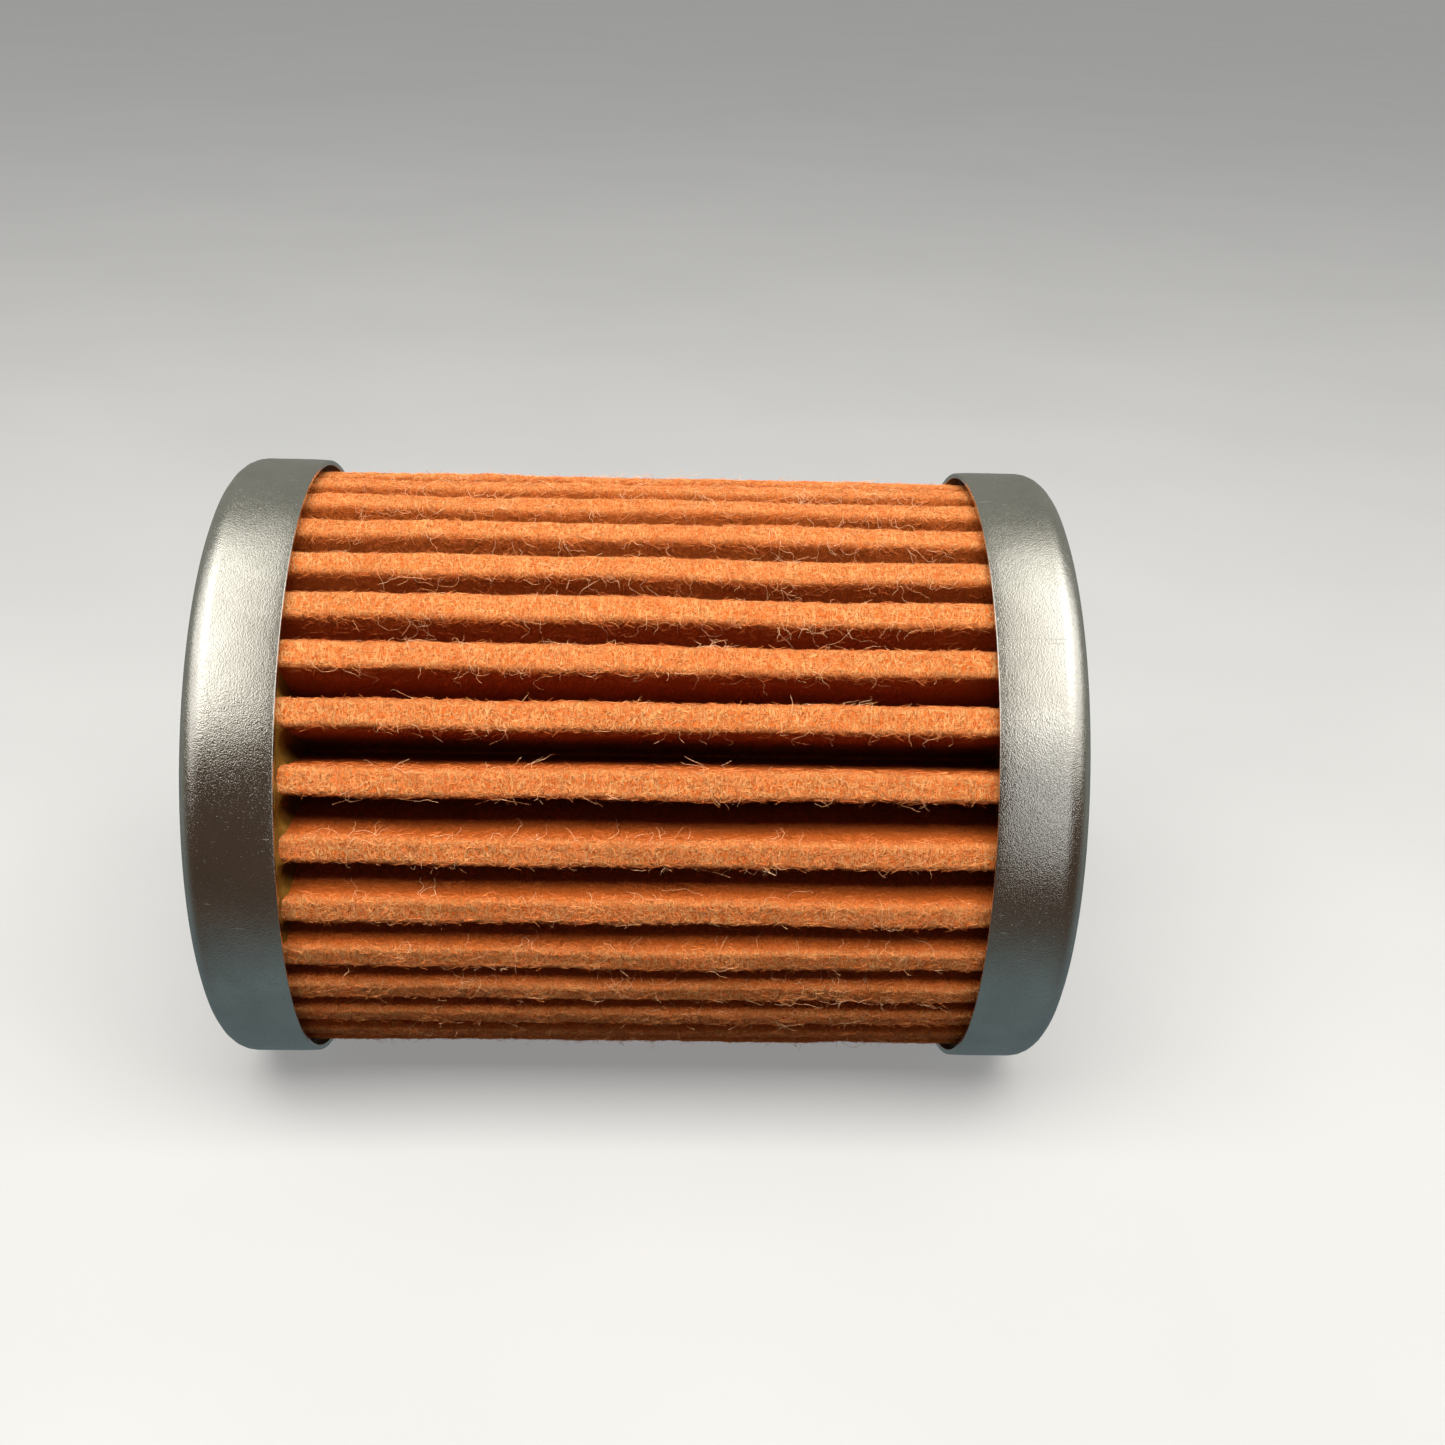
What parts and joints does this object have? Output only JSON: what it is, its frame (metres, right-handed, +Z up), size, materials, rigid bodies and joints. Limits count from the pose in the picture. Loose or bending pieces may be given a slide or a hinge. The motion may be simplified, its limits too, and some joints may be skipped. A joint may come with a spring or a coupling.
{
  "type": "fuel filter element",
  "caption": "Cartridge fuel filter element: pleated felt media round a perforated core, potted into pressed steel end caps, with a rubber-sealed hole at each end.",
  "frame": {"origin": "centre of the element on its axis, midway between the faces of the end caps", "axes": "+X along the axis of the filter towards the right end cap, +Z up as the element lies on its side, -Y the front"},
  "size_m": [0.0562, 0.042, 0.042],
  "materials": {
    "plated_steel": "bright zinc plate, satin with a fine sparkling grain",
    "potting": "cured amber adhesive, slightly translucent",
    "felt_media": "resin-treated orange felt, matt, with loose pale fibres",
    "clip_steel": "tinned strip, satin",
    "core_steel": "tinned perforated sheet, satin",
    "nitrile_rubber": "moulded black rubber, matt"
  },
  "bodies": {
    "root": {"end_cap_left": "plated_steel", "end_cap_right": "plated_steel", "potting_left": "potting", "potting_right": "potting", "pleated_media": "felt_media", "seam_clip": "clip_steel", "core_tube": "core_steel", "grommet_left": "nitrile_rubber", "grommet_right": "nitrile_rubber"}
  },
  "joints": []
}
